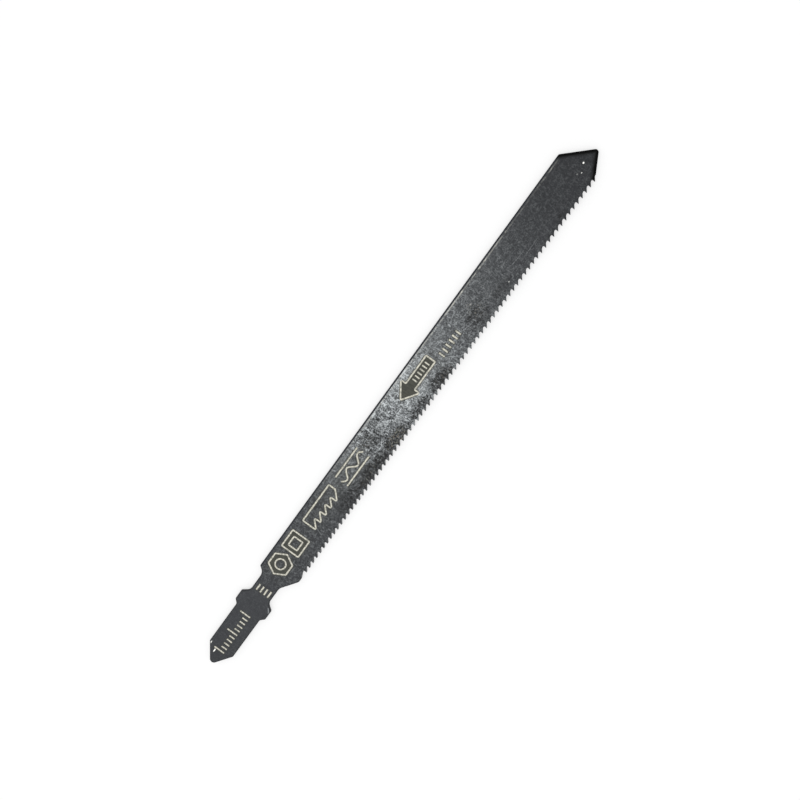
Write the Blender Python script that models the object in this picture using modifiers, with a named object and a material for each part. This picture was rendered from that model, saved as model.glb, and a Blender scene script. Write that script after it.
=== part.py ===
"""Jigsaw blade for cutting metal: a two-lug shank and a long body with fine, wavy-set teeth,
stamped, milled and set from one strip of sheet steel.

The blade lies flat. +X runs from the shank's end to the tip, the teeth face -Y and +Z is up.
The origin is under the middle of its box, on the surface that it lies on.
While it is being built, x is measured from the shank's end, y from the shank's centre line
and z from the middle of the sheet.
"""

from math import ceil, cos, pi, radians, sin, tan

import bmesh
import bpy
from mathutils import Matrix, Vector

MM = 0.001

# The sheet
LENGTH = 132.0 * MM
THICKNESS = 1.0 * MM
BLADE_WIDTH = 8.7 * MM  # from the back edge to the tooth tips
BACK_HEIGHT = 3.73 * MM  # from the shank's centre line up to the back edge
RIM_ROUNDING = 0.22 * MM  # the rolled corner that blanking leaves round the sheet

# The shank, which the saw's holder takes
SHANK_LENGTH = 14.95 * MM  # from the shank's end to the flat of the lugs
SHANK_WIDTH = 6.05 * MM
SHANK_END_ANGLE = radians(34.0)
SHANK_END_RADIUS = 0.85 * MM
SHANK_CORNER_RADIUS = 0.7 * MM

# The two lugs that stop the shank from pulling out of the holder
LUG_FLAT = 2.2 * MM
LUG_HEIGHT = 0.83 * MM  # how far each lug stands out from the shank's side
LUG_LEADING_ANGLE = radians(45.0)
LUG_TRAILING_ANGLE = radians(52.0)
LUG_CORNER_RADIUS = 0.45 * MM
LUG_ROOT_RADIUS = 0.7 * MM

# The neck and the two shoulders that widen it into the body
NECK_WIDTH = 4.8 * MM
NECK_LENGTH = 6.95 * MM  # from the flat of the lugs to the start of the back edge
NECK_RADIUS = 1.5 * MM
BACK_SHOULDER_ANGLE = radians(55.0)
BACK_SHOULDER_RADIUS = 1.9 * MM
BACK_CORNER_RADIUS = 0.45 * MM
HEEL_LAG = 2.0 * MM  # the heel starts this far past the start of the back edge
HEEL_ANGLE = radians(34.3)
HEEL_RADIUS = 1.2 * MM
HEEL_FLAT = 0.95 * MM
HEEL_RELIEF = 0.08 * MM  # the heel stands back from the tooth tips by this

# The teeth, whose cutting faces look towards the shank
TOOTH_PITCH = 1.29 * MM
TOOTH_DEPTH = 0.66 * MM
TOOTH_LAND = 0.05 * MM  # the blunt width of a tip
TOOTH_BACK_ANGLE = radians(40.0)
TOOTH_RAKE = radians(4.0)
GULLET_RADIUS = 0.2 * MM
HEEL_GAP = 1.85 * MM  # the longer gap between the heel and the first tooth
HEEL_GAP_ANGLE = radians(24.0)

# The wavy set, which makes the cut wider than the sheet
SET_OFFSET = 0.22 * MM  # to each side, at the tooth tips
SET_HEIGHT = 2.0 * MM  # from the tooth tips up to the line that the set bends from
SET_WAVE_TEETH = 8  # teeth in one full wave
SET_FADE_TEETH = 2  # teeth over which the wave grows and dies at its ends

# The tip
TIP_POINT_DEPTH = 5.6 * MM  # from the back edge down to the point
TIP_BACK_ANGLE = radians(46.7)
TIP_FRONT_ANGLE = radians(30.0)
TIP_POINT_RADIUS = 0.6 * MM
TIP_CORNER_RADIUS = 0.45 * MM

# How finely curves are drawn
ARC_STEP = radians(12.0)
GULLET_STEP = radians(24.0)
RIM_SEGMENTS = 3
SET_ROWS = 3  # bands of faces between the bend line and the gullets
COLUMNS_PER_TOOTH = 2

CUTTER_MARGIN = 0.8 * MM  # how far the milling cutter reaches past the sheet
WELD_DISTANCE = 0.0005 * MM

SHANK_HALF = SHANK_WIDTH / 2
LUG_HALF = SHANK_HALF + LUG_HEIGHT
NECK_HALF = NECK_WIDTH / 2
LUG_END = SHANK_LENGTH + LUG_FLAT
BACK_START = LUG_END + NECK_LENGTH
HEEL_START = BACK_START + HEEL_LAG
HEEL_END = HEEL_START + HEEL_FLAT
FIRST_TOOTH = HEEL_END + HEEL_GAP
TIPS_Y = BACK_HEIGHT - BLADE_WIDTH
GULLETS_Y = TIPS_Y + TOOTH_DEPTH
BEND_Y = TIPS_Y + SET_HEIGHT
HEEL_Y = TIPS_Y + HEEL_RELIEF
UNCUT_Y = TIPS_Y - CUTTER_MARGIN / 2  # the blank's toothed edge before it is milled


def clear_scene():
    for obj in list(bpy.data.objects):
        bpy.data.objects.remove(obj, do_unlink=True)


def new_collection(name):
    collection = bpy.data.collections.new(name)
    bpy.context.scene.collection.children.link(collection)
    return collection


def rounded(corners):
    """The points of a closed outline through (x, y, radius) corners, each rounded by an arc.
    Two arcs that would overlap on the side between them share it instead."""
    count = len(corners)
    places = [Vector(corner[:2]) for corner in corners]
    sides = [places[(i + 1) % count] - places[i] for i in range(count)]
    turns = [sides[i - 1].angle_signed(sides[i]) for i in range(count)]
    reaches = [corners[i][2] * tan(abs(turns[i]) / 2) for i in range(count)]
    shares = [1.0] * count
    for i in range(count):
        j = (i + 1) % count
        wanted = reaches[i] + reaches[j]
        if wanted > sides[i].length:
            fits = sides[i].length / wanted
            shares[i] = min(shares[i], fits)
            shares[j] = min(shares[j], fits)
    points = []
    for i in range(count):
        reach = reaches[i] * shares[i]
        if reach < WELD_DISTANCE:
            points.append(places[i])
            continue
        towards = sides[i].normalized()
        start = places[i] - sides[i - 1].normalized() * reach
        radius = reach / tan(abs(turns[i]) / 2)
        inward = Vector((towards.y, -towards.x)) * (1 if turns[i] > 0 else -1)
        centre = places[i] + towards * reach + inward * radius
        steps = max(2, ceil(abs(turns[i]) / ARC_STEP))
        for step in range(steps + 1):
            turn = Matrix.Rotation(-turns[i] * step / steps, 2)
            points.append(centre + turn @ (start - centre))
    return points


def tip_point():
    """Where the tip's two slopes would meet, were the point not rounded."""
    half_angle = (TIP_BACK_ANGLE + TIP_FRONT_ANGLE) / 2
    lean = (TIP_BACK_ANGLE - TIP_FRONT_ANGLE) / 2
    cut_off = TIP_POINT_RADIUS * (cos(lean) / sin(half_angle) - 1)
    return Vector((LENGTH + cut_off, BACK_HEIGHT - TIP_POINT_DEPTH))


def front_slope_x(y):
    """Where the tip's front slope is at height y."""
    point = tip_point()
    return point.x - (point.y - y) / tan(TIP_FRONT_ANGLE)


def blank_corners():
    """The sheet's outline before the teeth are milled, from the shank's end round by the back."""
    end_cut_off = SHANK_END_RADIUS * (1 / sin(SHANK_END_ANGLE) - 1)
    shank_full_x = SHANK_HALF / tan(SHANK_END_ANGLE) - end_cut_off
    lug_foot_x = SHANK_LENGTH - LUG_HEIGHT / tan(LUG_LEADING_ANGLE)
    neck_start_x = LUG_END + (LUG_HALF - NECK_HALF) / tan(LUG_TRAILING_ANGLE)
    back_foot_x = BACK_START - (BACK_HEIGHT - NECK_HALF) / tan(BACK_SHOULDER_ANGLE)
    heel_foot_x = HEEL_START + (NECK_HALF + HEEL_Y) / tan(HEEL_ANGLE)
    uncut_x = HEEL_END + HEEL_GAP / 2
    point = tip_point()
    back_end_x = point.x - TIP_POINT_DEPTH / tan(TIP_BACK_ANGLE)
    shank_side = [
        (shank_full_x, SHANK_HALF, SHANK_CORNER_RADIUS),
        (lug_foot_x, SHANK_HALF, LUG_ROOT_RADIUS),
        (SHANK_LENGTH, LUG_HALF, LUG_CORNER_RADIUS),
        (LUG_END, LUG_HALF, LUG_CORNER_RADIUS),
        (neck_start_x, NECK_HALF, NECK_RADIUS),
    ]
    body = [
        (back_foot_x, NECK_HALF, BACK_SHOULDER_RADIUS),
        (BACK_START, BACK_HEIGHT, BACK_CORNER_RADIUS),
        (back_end_x, BACK_HEIGHT, TIP_CORNER_RADIUS),
        (point.x, point.y, TIP_POINT_RADIUS),
        (front_slope_x(UNCUT_Y), UNCUT_Y, 0.0),
        (uncut_x, UNCUT_Y, 0.0),
        (uncut_x, HEEL_Y, 0.0),
        (HEEL_START, HEEL_Y, HEEL_RADIUS),
        (heel_foot_x, -NECK_HALF, NECK_RADIUS),
    ]
    far_side = [(x, -y, radius) for x, y, radius in reversed(shank_side)]
    return [(-end_cut_off, 0.0, SHANK_END_RADIUS)] + shank_side + body + far_side


def gullet(start_x, start_y, tooth_x, back_angle):
    """The outline of the gap before a tooth: up the back of the tooth before it, round the
    gullet in two arcs and down the tooth's cutting face."""
    face_turn = pi / 2 + TOOTH_RAKE
    bottom_x = tooth_x + TOOTH_DEPTH * tan(TOOTH_RAKE) - GULLET_RADIUS * tan(face_turn / 2)
    # The straight back and the arc after it, which ends level, share the run and the rise.
    spare_run = bottom_x - start_x - (GULLETS_Y - start_y) / tan(back_angle)
    back_radius = max(spare_run / tan(back_angle / 2), GULLET_RADIUS)
    points = [Vector((start_x, start_y))]
    back_steps = ceil(back_angle / ARC_STEP)
    for step in range(back_steps + 1):
        slope = back_angle * (1 - step / back_steps)
        x = bottom_x - back_radius * sin(slope)
        points.append(Vector((x, GULLETS_Y - back_radius * (1 - cos(slope)))))
    face_steps = ceil(face_turn / GULLET_STEP)
    for step in range(1, face_steps + 1):
        slope = face_turn * step / face_steps
        x = bottom_x + GULLET_RADIUS * sin(slope)
        points.append(Vector((x, GULLETS_Y - GULLET_RADIUS * (1 - cos(slope)))))
    points.append(Vector((tooth_x, TIPS_Y)))
    return points


def milled_outline():
    """All that the milling takes away: the gap after the heel, then one gap for each tooth
    until the edge has run out."""
    bottom_y = TIPS_Y - CUTTER_MARGIN
    heel_x = HEEL_END - (HEEL_Y - bottom_y) / tan(HEEL_GAP_ANGLE)
    points = gullet(heel_x, bottom_y, FIRST_TOOTH, HEEL_GAP_ANGLE)
    tooth_x = FIRST_TOOTH
    while tooth_x < front_slope_x(GULLETS_Y):
        next_tooth_x = tooth_x + TOOTH_PITCH
        points += gullet(tooth_x + TOOTH_LAND, TIPS_Y, next_tooth_x, TOOTH_BACK_ANGLE)
        tooth_x = next_tooth_x
    points.append(Vector((tooth_x, bottom_y)))
    return points


def plate(name, points, half_thickness, collection):
    """A flat mesh plate of the outline's shape, its two faces left whole."""
    curve = bpy.data.curves.new(name, "CURVE")
    curve.dimensions = "2D"
    curve.fill_mode = "BOTH"
    curve.extrude = half_thickness
    spline = curve.splines.new("POLY")
    spline.points.add(len(points) - 1)
    for point, place in zip(spline.points, points):
        point.co = (place.x, place.y, 0.0, 1.0)
    spline.use_cyclic_u = True
    drawn = bpy.data.objects.new(name + "_outline", curve)
    collection.objects.link(drawn)
    bpy.context.view_layer.update()
    graph = bpy.context.evaluated_depsgraph_get()
    mesh = bpy.data.meshes.new_from_object(drawn.evaluated_get(graph))
    bpy.data.objects.remove(drawn)
    bpy.data.curves.remove(curve)
    work = bmesh.new()
    work.from_mesh(mesh)
    bmesh.ops.remove_doubles(work, verts=work.verts, dist=WELD_DISTANCE)
    inner = [edge for edge in work.edges if all(is_flat(face) for face in edge.link_faces)]
    bmesh.ops.dissolve_edges(work, edges=inner, use_verts=False)
    bmesh.ops.recalc_face_normals(work, faces=work.faces)
    work.to_mesh(mesh)
    work.free()
    mesh.name = name
    made = bpy.data.objects.new(name, mesh)
    collection.objects.link(made)
    return made


def is_flat(face):
    """Whether this is part of the sheet's upper or lower face."""
    return abs(face.normal.z) > cos(radians(1.0))


def round_rim(blank):
    """Rounds both rims of the sheet, all but the straight edge that the milling takes away."""
    mesh = blank.data
    weights = mesh.attributes.new("bevel_weight_edge", "FLOAT", "EDGE")
    for edge in mesh.edges:
        a, b = (mesh.vertices[i].co for i in edge.vertices)
        upright = abs(a.z - b.z) > WELD_DISTANCE
        uncut = min(a.y, b.y) < UNCUT_Y + WELD_DISTANCE and abs(a.x - b.x) < WELD_DISTANCE
        uncut = uncut or max(a.y, b.y) < UNCUT_Y + WELD_DISTANCE
        weights.data[edge.index].value = 0.0 if upright or uncut else 1.0
    bevel = blank.modifiers.new("rolled rim", "BEVEL")
    bevel.limit_method = "WEIGHT"
    bevel.width = RIM_ROUNDING
    bevel.segments = RIM_SEGMENTS
    bevel.use_clamp_overlap = False


def mill_teeth(blank, collection):
    """Cuts the teeth out of the blank's straight edge."""
    half_thickness = THICKNESS / 2 + CUTTER_MARGIN
    cutter = plate("milling_cutter", milled_outline(), half_thickness, collection)
    cutter.hide_render = True
    cutter.display_type = "WIRE"
    cut = blank.modifiers.new("milled teeth", "BOOLEAN")
    cut.operation = "DIFFERENCE"
    cut.object = cutter


def read_back(blank):
    """The blank as its modifiers leave it, as a bmesh."""
    bpy.context.view_layer.update()
    graph = bpy.context.evaluated_depsgraph_get()
    work = bmesh.new()
    work.from_mesh(blank.evaluated_get(graph).data)
    bmesh.ops.remove_doubles(work, verts=work.verts, dist=WELD_DISTANCE)
    return work


def divide(work, faces, place, normal):
    """Adds edges where the plane meets these faces."""
    around = {item for face in faces for item in (*face.verts, *face.edges, face)}
    bmesh.ops.bisect_plane(
        work, geom=list(around), dist=WELD_DISTANCE, plane_co=place, plane_no=normal
    )


def divide_rows(work):
    """Divides both flat faces along the bend line and between it and the gullets."""
    for row in range(SET_ROWS):
        y = BEND_Y + (GULLETS_Y - BEND_Y) * row / SET_ROWS
        faces = [face for face in work.faces if is_flat(face)]
        divide(work, faces, (0.0, y, 0.0), (0.0, 1.0, 0.0))


def divide_columns(work):
    """Divides the strip that bends across on both faces, a few times for each tooth."""
    step = TOOTH_PITCH / COLUMNS_PER_TOOTH
    first_x = FIRST_TOOTH - TOOTH_PITCH + TOOTH_LAND + step / 2
    count = ceil((front_slope_x(GULLETS_Y) - first_x) / step)
    for column in range(count):
        x = first_x + column * step
        faces = []
        for face in work.faces:
            across = [vert.co.x for vert in face.verts]
            highest = max(vert.co.y for vert in face.verts)
            in_strip = is_flat(face) and highest < BEND_Y + WELD_DISTANCE
            if in_strip and min(across) < x < max(across):
                faces.append(face)
        divide(work, faces, (x, 0.0, 0.0), (1.0, 0.0, 0.0))


def set_teeth(work):
    """Bends the strip to left and right in a wave that is widest at the tooth tips."""
    start = FIRST_TOOTH - TOOTH_PITCH
    end = front_slope_x(GULLETS_Y)
    fade = SET_FADE_TEETH * TOOTH_PITCH
    wave = SET_WAVE_TEETH * TOOTH_PITCH
    for vert in work.verts:
        below = (BEND_Y - vert.co.y) / SET_HEIGHT
        inside = min(vert.co.x - start, end - vert.co.x) / fade
        if below <= 0 or inside <= 0:
            continue
        grown = min(inside, 1.0)
        grown = grown * grown * (3 - 2 * grown)
        vert.co.z += SET_OFFSET * grown * below * below * sin(2 * pi * (vert.co.x - start) / wave)


def stand_on_origin(work):
    """Moves the blade so that the origin is under the middle of its box."""
    low = Vector([min(vert.co[axis] for vert in work.verts) for axis in range(3)])
    high = Vector([max(vert.co[axis] for vert in work.verts) for axis in range(3)])
    middle = (low + high) / 2
    bmesh.ops.translate(work, verts=work.verts, vec=(-middle.x, -middle.y, -low.z))


def blackened_steel():
    material = bpy.data.materials.new("blackened_steel")
    material.use_nodes = True
    shader = material.node_tree.nodes["Principled BSDF"]
    shader.inputs["Base Color"].default_value = (0.052, 0.057, 0.064, 1.0)
    shader.inputs["Metallic"].default_value = 0.75
    shader.inputs["Roughness"].default_value = 0.42
    return material


def jigsaw_blade(collection, cutters):
    blank = plate("blank", rounded(blank_corners()), THICKNESS / 2, cutters)
    blank.hide_render = True
    blank.display_type = "WIRE"
    round_rim(blank)
    mill_teeth(blank, cutters)
    work = read_back(blank)
    divide_rows(work)
    divide_columns(work)
    bmesh.ops.triangulate(work, faces=work.faces)
    set_teeth(work)
    stand_on_origin(work)
    mesh = bpy.data.meshes.new("jigsaw_blade")
    work.to_mesh(mesh)
    work.free()
    mesh.shade_smooth()
    mesh.set_sharp_from_angle(angle=radians(35.0))
    mesh.materials.append(blackened_steel())
    blade = bpy.data.objects.new("jigsaw_blade", mesh)
    collection.objects.link(blade)
    return blade


def main():
    clear_scene()
    parts = new_collection("jigsaw blade")
    cutters = new_collection("cutters")
    jigsaw_blade(parts, cutters)


main()
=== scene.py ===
# %% [markdown]
# # A jigsaw blade for metal
#
# The blade is one stamping of sheet steel: a shank with two lugs, a short neck and a long body whose
# lower edge carries seventy-odd fine teeth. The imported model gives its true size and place. This
# script draws the same blade again with finer curves, etches plain signs in it and gives it the
# finish of a blade that has been used. Each step says first what it stands for on the real object.

from functools import partial, reduce
from math import atan2, ceil, cos, pi, radians, sin, tan

import bmesh
import bpy
from mathutils import Matrix, Quaternion, Vector


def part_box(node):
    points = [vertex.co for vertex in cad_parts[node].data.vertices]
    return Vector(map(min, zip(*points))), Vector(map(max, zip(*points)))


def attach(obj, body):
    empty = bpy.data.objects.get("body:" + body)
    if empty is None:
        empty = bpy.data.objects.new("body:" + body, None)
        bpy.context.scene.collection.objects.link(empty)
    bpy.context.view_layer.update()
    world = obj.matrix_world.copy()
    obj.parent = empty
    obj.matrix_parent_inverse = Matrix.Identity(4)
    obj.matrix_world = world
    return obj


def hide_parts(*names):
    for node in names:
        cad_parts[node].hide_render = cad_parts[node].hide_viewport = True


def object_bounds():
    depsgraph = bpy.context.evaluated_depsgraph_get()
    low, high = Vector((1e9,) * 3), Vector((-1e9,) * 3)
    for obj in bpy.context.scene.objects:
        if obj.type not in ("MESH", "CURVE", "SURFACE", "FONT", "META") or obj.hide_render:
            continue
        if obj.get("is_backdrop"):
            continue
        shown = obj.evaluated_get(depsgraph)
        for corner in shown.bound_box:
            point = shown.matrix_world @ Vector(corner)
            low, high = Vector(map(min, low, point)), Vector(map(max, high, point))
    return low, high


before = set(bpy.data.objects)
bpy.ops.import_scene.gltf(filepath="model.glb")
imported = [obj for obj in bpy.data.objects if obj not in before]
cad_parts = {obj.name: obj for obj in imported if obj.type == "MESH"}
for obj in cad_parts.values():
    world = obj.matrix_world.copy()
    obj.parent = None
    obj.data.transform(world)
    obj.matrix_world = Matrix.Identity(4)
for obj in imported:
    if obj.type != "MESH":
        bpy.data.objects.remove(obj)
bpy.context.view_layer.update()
MM = 0.001
NODE = "jigsaw_blade"
low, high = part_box(NODE)


def new_object(name, data):
    """A new object in the scene."""
    made = bpy.data.objects.new(name, data)
    bpy.context.scene.collection.objects.link(made)
    return made


print("the packed blade measures", [round(side / MM, 3) for side in high - low], "mm")

# %% [markdown]
# ## Sizes
#
# Such a blade is drawn on a bench as a flat pattern: x runs from the shank's end, y from the shank's
# centre line and z from the middle of the sheet. These are the sizes that the solid was made with,
# so the two agree to a few thousandths of a millimetre. Only the fineness of the curves differs.

# %% The sheet, the shank and the neck
LENGTH = 132.0 * MM
THICKNESS = 1.0 * MM
BLADE_WIDTH = 8.7 * MM  # from the back edge to the tooth tips
BACK_HEIGHT = 3.73 * MM  # from the shank's centre line up to the back edge
RIM_ROUNDING = 0.22 * MM  # the rolled corner that blanking leaves round the sheet

SHANK_LENGTH = 14.95 * MM  # from the shank's end to the flat of the lugs
SHANK_HALF = 6.05 * MM / 2
SHANK_END_ANGLE = radians(34.0)
SHANK_END_RADIUS = 0.85 * MM
SHANK_CORNER_RADIUS = 0.7 * MM

LUG_FLAT = 2.2 * MM
LUG_HEIGHT = 0.83 * MM
LUG_LEADING_ANGLE = radians(45.0)
LUG_TRAILING_ANGLE = radians(52.0)
LUG_CORNER_RADIUS = 0.45 * MM
LUG_ROOT_RADIUS = 0.7 * MM

NECK_HALF = 4.8 * MM / 2
NECK_LENGTH = 6.95 * MM  # from the flat of the lugs to the start of the back edge
NECK_RADIUS = 1.5 * MM
BACK_SHOULDER_ANGLE = radians(55.0)
BACK_SHOULDER_RADIUS = 1.9 * MM
BACK_CORNER_RADIUS = 0.45 * MM
HEEL_LAG = 2.0 * MM  # the heel starts this far past the start of the back edge
HEEL_ANGLE = radians(34.3)
HEEL_RADIUS = 1.2 * MM
HEEL_FLAT = 0.95 * MM
HEEL_RELIEF = 0.08 * MM  # the heel stands back from the tooth tips by this

LUG_HALF = SHANK_HALF + LUG_HEIGHT
LUG_END = SHANK_LENGTH + LUG_FLAT
BACK_START = LUG_END + NECK_LENGTH
HEEL_START = BACK_START + HEEL_LAG
HEEL_END = HEEL_START + HEEL_FLAT
print("the back edge starts", round(BACK_START / MM, 2), "mm from the shank's end")

# %% The teeth, their set and the tip
TOOTH_PITCH = 1.29 * MM
TOOTH_DEPTH = 0.66 * MM
TOOTH_LAND = 0.05 * MM  # the blunt width of a tip
TOOTH_BACK_ANGLE = radians(40.0)
TOOTH_RAKE = radians(4.0)
GULLET_RADIUS = 0.2 * MM
HEEL_GAP = 1.85 * MM
HEEL_GAP_ANGLE = radians(24.0)

SET_OFFSET = 0.22 * MM  # to each side, at the tooth tips
SET_HEIGHT = 2.0 * MM  # from the tooth tips up to the line that the set bends from
SET_WAVE_TEETH = 8
SET_FADE_TEETH = 2

TIP_POINT_DEPTH = 5.6 * MM  # from the back edge down to the point
TIP_BACK_ANGLE = radians(46.7)
TIP_FRONT_ANGLE = radians(30.0)
TIP_POINT_RADIUS = 0.6 * MM
TIP_CORNER_RADIUS = 0.45 * MM

CUTTER_MARGIN = 0.8 * MM
FIRST_TOOTH = HEEL_END + HEEL_GAP
TIPS_Y = BACK_HEIGHT - BLADE_WIDTH
GULLETS_Y = TIPS_Y + TOOTH_DEPTH
BEND_Y = TIPS_Y + SET_HEIGHT
HEEL_Y = TIPS_Y + HEEL_RELIEF
UNCUT_Y = TIPS_Y - CUTTER_MARGIN / 2  # the blank's lower edge before it is milled


def tip_point():
    """Where the tip's two slopes would meet, were the point not rounded."""
    half_angle = (TIP_BACK_ANGLE + TIP_FRONT_ANGLE) / 2
    lean = (TIP_BACK_ANGLE - TIP_FRONT_ANGLE) / 2
    cut_off = TIP_POINT_RADIUS * (cos(lean) / sin(half_angle) - 1)
    return Vector((LENGTH + cut_off, BACK_HEIGHT - TIP_POINT_DEPTH))


print("the first tooth stands", round(FIRST_TOOTH / MM, 2), "mm from the shank's end")

# %% How finely the curves are drawn here
ARC_STEP = radians(4.0)
GULLET_STEP = radians(12.0)
RIM_SEGMENTS = 6
SET_ROWS = 5
COLUMNS_PER_TOOTH = 3
WELD_DISTANCE = 0.0005 * MM
print("an arc turns", round(ARC_STEP / radians(1.0), 1), "degrees at each step")

# %% Where the flat pattern lies in the frame
PATTERN_TO_FRAME = Vector((low.x, high.y - LUG_HALF, (low.z + high.z) / 2))
BACK_Y = PATTERN_TO_FRAME.y + BACK_HEIGHT
UPPER_Z = PATTERN_TO_FRAME.z + THICKNESS / 2
print("the lugs stand", round((high.y - BACK_Y) / MM, 3), "mm above the back edge")
print("the upper face lies", round(UPPER_Z / MM, 3), "mm above the floor")

# %% [markdown]
# ## Camera
#
# The photograph looks down on the blade from a little beyond its middle, and turns it so that the
# tip points up to the right. A camera is placed here as a person would hold it: by the point that it
# aims at, its distance, its elevation and azimuth, and its roll about its own axis.

# %% Camera
AIM = Vector((4.07, 1.055, 0.72)) * MM
CAMERA_DISTANCE = 223.9 * MM
CAMERA_AZIMUTH = radians(92.77)
CAMERA_ELEVATION = radians(78.89)
CAMERA_ROLL = radians(-146.67)
LENS = 50.0


def look_from(azimuth, elevation, distance, roll, aim):
    """A camera this far from the point that it aims at, rolled about its own axis."""
    across = cos(elevation)
    back = Vector((sin(azimuth) * across, -cos(azimuth) * across, sin(elevation)))
    made = new_object("camera", bpy.data.cameras.new("camera"))
    made.location = aim + back * distance
    made.rotation_mode = "QUATERNION"
    upright = (-back).to_track_quat("-Z", "Y")
    made.rotation_quaternion = upright @ Quaternion((0.0, 0.0, 1.0), roll)
    return made


camera = look_from(CAMERA_AZIMUTH, CAMERA_ELEVATION, CAMERA_DISTANCE, CAMERA_ROLL, AIM)
camera.data.lens = LENS
camera.data.sensor_width = 36.0
camera.data.clip_start = 0.01
camera.data.clip_end = 10.0
bpy.context.scene.camera = camera
print("the camera stands at", [round(place / MM, 1) for place in camera.location], "mm")

# %% [markdown]
# ## Node trees, written as sums
#
# Finishes and repeated shapes are both node trees. Made by hand, each node takes a line to add it,
# more to set it and one for each link. Here a small class stands for what a node gives out, and
# Python's own signs are taught what to do with it: an asterisk between two of them adds a Multiply
# node. A finish then reads like the thing it describes.

# %% What a node gives out
class Output:
    """One output of a node. The sum or product of such numbers is the output of one more node."""

    def __init__(self, made, output=0):
        self.socket = made.outputs[output]

    def __add__(self, other):
        return maths("ADD", self, other)

    def __sub__(self, other):
        return maths("SUBTRACT", self, other)

    def __rsub__(self, other):
        return maths("SUBTRACT", other, self)

    def __mul__(self, other):
        return maths("MULTIPLY", self, other)

    def __truediv__(self, other):
        return maths("DIVIDE", self, other)

    def __abs__(self):
        return maths("ABSOLUTE", self)

    __radd__ = __add__
    __rmul__ = __mul__


def fill(socket, value):
    """Gives an input a plain value, or links it to what another node gives out."""
    if isinstance(value, Output):
        socket.id_data.links.new(value.socket, socket)
    else:
        socket.default_value = value


def node(kind, inputs, tree=None, **settings):
    """A new node, in this tree or else in the one that its inputs come from."""
    inputs = dict(inputs)
    linked = [value for value in inputs.values() if isinstance(value, Output)]
    made = (tree or linked[0].socket.id_data).nodes.new(kind)
    for name, value in settings.items():
        setattr(made, name, value)
    for place, value in inputs.items():
        fill(made.inputs[place], value)
    return made


print("a node's output is filled in like a number")

# %% Helpers for numbers and places
def maths(operation, *values):
    return Output(node("ShaderNodeMath", enumerate(values), operation=operation))


def vectors(operation, *values):
    return Output(node("ShaderNodeVectorMath", enumerate(values), operation=operation))


def scaled(vector, factor):
    return Output(node("ShaderNodeVectorMath", {0: vector, "Scale": factor}, operation="SCALE"))


def separated(vector):
    """The x, y and z of a vector."""
    made = node("ShaderNodeSeparateXYZ", {0: vector})
    return [Output(made, axis) for axis in "XYZ"]


def most(values):
    """The largest of some numbers."""
    return reduce(partial(maths, "MAXIMUM"), values)


def least(values):
    """The smallest of some numbers."""
    return reduce(partial(maths, "MINIMUM"), values)


def rise(value, start, end):
    """0 before start, 1 after end and a smooth rise between, whichever of the two is the larger."""
    inputs = {0: value, 1: start, 2: end}
    return Output(node("ShaderNodeMapRange", inputs, interpolation_type="SMOOTHSTEP"))


def swayed(pattern, middle, swing):
    """A value that a pattern, which runs from 0 to 1, moves to both sides of a middle."""
    return (pattern - 0.5) * swing + middle


print("helpers for numbers ready")

# %% Helpers for patterns and colours
def mixed(share, first, second):
    """The first colour where the share is 0, the second where it is 1."""
    return Output(node("ShaderNodeMix", {0: share, 6: first, 7: second}, data_type="RGBA"), 2)


def noise(place, scale=1.0, detail=2.0, roughness=0.5, distortion=0.0):
    inputs = {
        "Vector": place,
        "Scale": scale,
        "Detail": detail,
        "Roughness": roughness,
        "Distortion": distortion,
    }
    return Output(node("ShaderNodeTexNoise", inputs))


def stretched(place, scale, turn=0.0):
    """Places squeezed along each axis, so that a pattern read there comes out long and thin."""
    inputs = {"Vector": place, "Rotation": (0.0, 0.0, turn), "Scale": scale}
    return Output(node("ShaderNodeMapping", inputs))


def by_length(along, stops):
    """A smooth course along the blade through (millimetres, value) stops."""
    made = node("ShaderNodeValToRGB", {0: along / (LENGTH / MM)})
    made.color_ramp.interpolation = "EASE"
    elements = made.color_ramp.elements
    while len(elements) < len(stops):
        elements.new(0.5)
    for element, (place_mm, value) in zip(elements, stops):
        element.position = place_mm * MM / LENGTH
        element.color = (value, value, value, 1.0)
    return Output(made)


print("helpers for patterns ready")

# %% Helpers for whole trees
FINE_RELIEF = 0.006 * MM


def new_finish(name):
    """A material, its tree and its shader."""
    material = bpy.data.materials.new(name)
    material.use_nodes = True
    return material, material.node_tree, material.node_tree.nodes["Principled BSDF"]


def dress(shader, colour, roughness, metallic, height, strength=0.5, relief=FINE_RELIEF):
    """Fills a shader's main inputs. The height gives the surface its relief."""
    bump = node("ShaderNodeBump", {"Strength": strength, "Distance": relief, "Height": height})
    fill(shader.inputs["Base Color"], colour)
    fill(shader.inputs["Roughness"], roughness)
    fill(shader.inputs["Metallic"], metallic)
    fill(shader.inputs["Normal"], Output(bump))


def new_tree(name, tree_type, inputs, output):
    """A tree or a group, with a kind of socket for each input's name. Gives it and its inputs."""
    tree = bpy.data.node_groups.new(name, tree_type)
    for title, kind in inputs.items():
        tree.interface.new_socket(title, in_out="INPUT", socket_type="NodeSocket" + kind)
    tree.interface.new_socket(output, in_out="OUTPUT", socket_type="NodeSocket" + output)
    made = tree.nodes.new("NodeGroupInput")
    return tree, {title: Output(made, title) for title in inputs}


def end_tree(tree, result):
    fill(tree.nodes.new("NodeGroupOutput").inputs[0], result)


print("helpers for whole trees ready")

# %% [markdown]
# ## Floor and light
#
# The photograph is a cut-out on white. Here a pale floor lies under the blade, and what the camera
# and the reflections see of floor and surroundings is white, while the light that falls on the blade
# stays at a plain level. One large soft lamp high over the blade gives part of the gentle sheen along
# its middle and a faint shadow on the floor. The rest of that sheen is painted into the blade's colour.

# %% Surroundings
SKY_LEVEL = 0.76  # how brightly the surroundings light what is not seen directly
DIRECT_RAYS = ("Is Camera Ray", "Is Glossy Ray", "Is Transmission Ray")
WHITE = (1.0, 1.0, 1.0, 1.0)


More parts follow.
